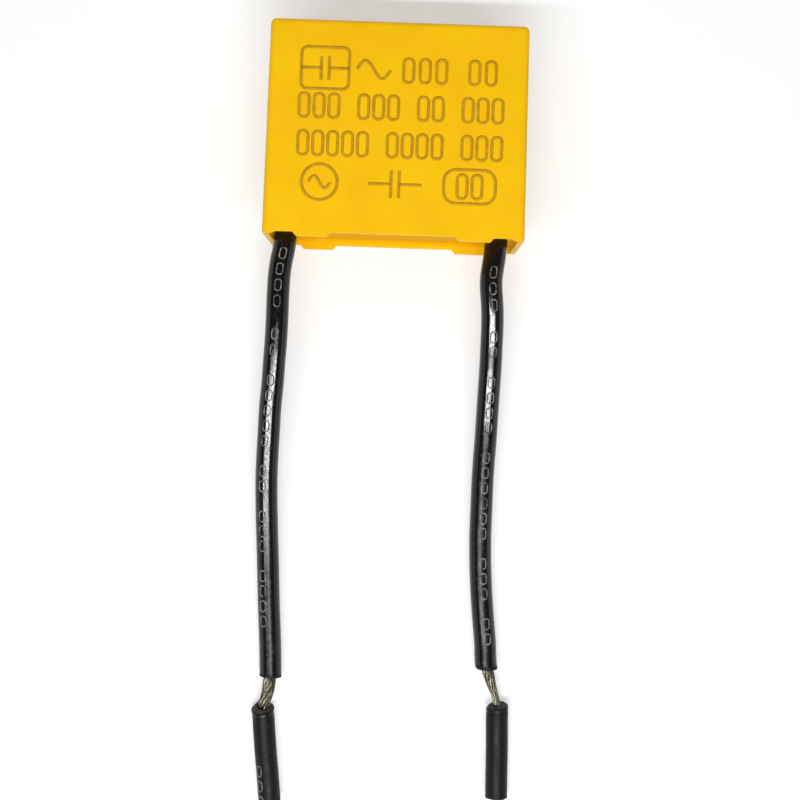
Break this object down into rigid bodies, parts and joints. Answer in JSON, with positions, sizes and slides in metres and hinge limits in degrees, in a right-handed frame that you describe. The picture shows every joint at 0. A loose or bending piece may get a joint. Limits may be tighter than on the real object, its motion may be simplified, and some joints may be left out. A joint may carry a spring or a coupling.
{
  "type": "film capacitor with wire leads",
  "caption": "Box film capacitor: drafted plastic case with footed rim, resin-filled open side, and insulated stranded leads whose ends are semi-stripped for soldering.",
  "frame": {"origin": "under the middle of the box on its back face, which is the surface it lies on", "axes": "+Z out of the front face, +Y to the closed end of the box, +X across its width; the leads run out along -Y"},
  "size_m": [0.0283, 0.0823, 0.013],
  "materials": {
    "case": "satin moulded flame-retardant polyester, yellow",
    "resin": "cast amber epoxy, glossy",
    "film": "wound metallised polypropylene film",
    "end_spray": "rough sprayed zinc",
    "solder": "satin solder",
    "conductor": "twisted tinned copper strands",
    "jacket": "semi-gloss black vinyl insulation"
  },
  "bodies": {
    "root": {"case": "case", "potting_resin": "resin", "film_winding": "film", "end_spray_left": "end_spray", "end_spray_right": "end_spray", "solder_left": "solder", "solder_right": "solder", "conductor_left": "conductor", "conductor_right": "conductor", "jacket_left": "jacket", "jacket_right": "jacket", "slug_left": "jacket", "slug_right": "jacket"}
  },
  "joints": []
}
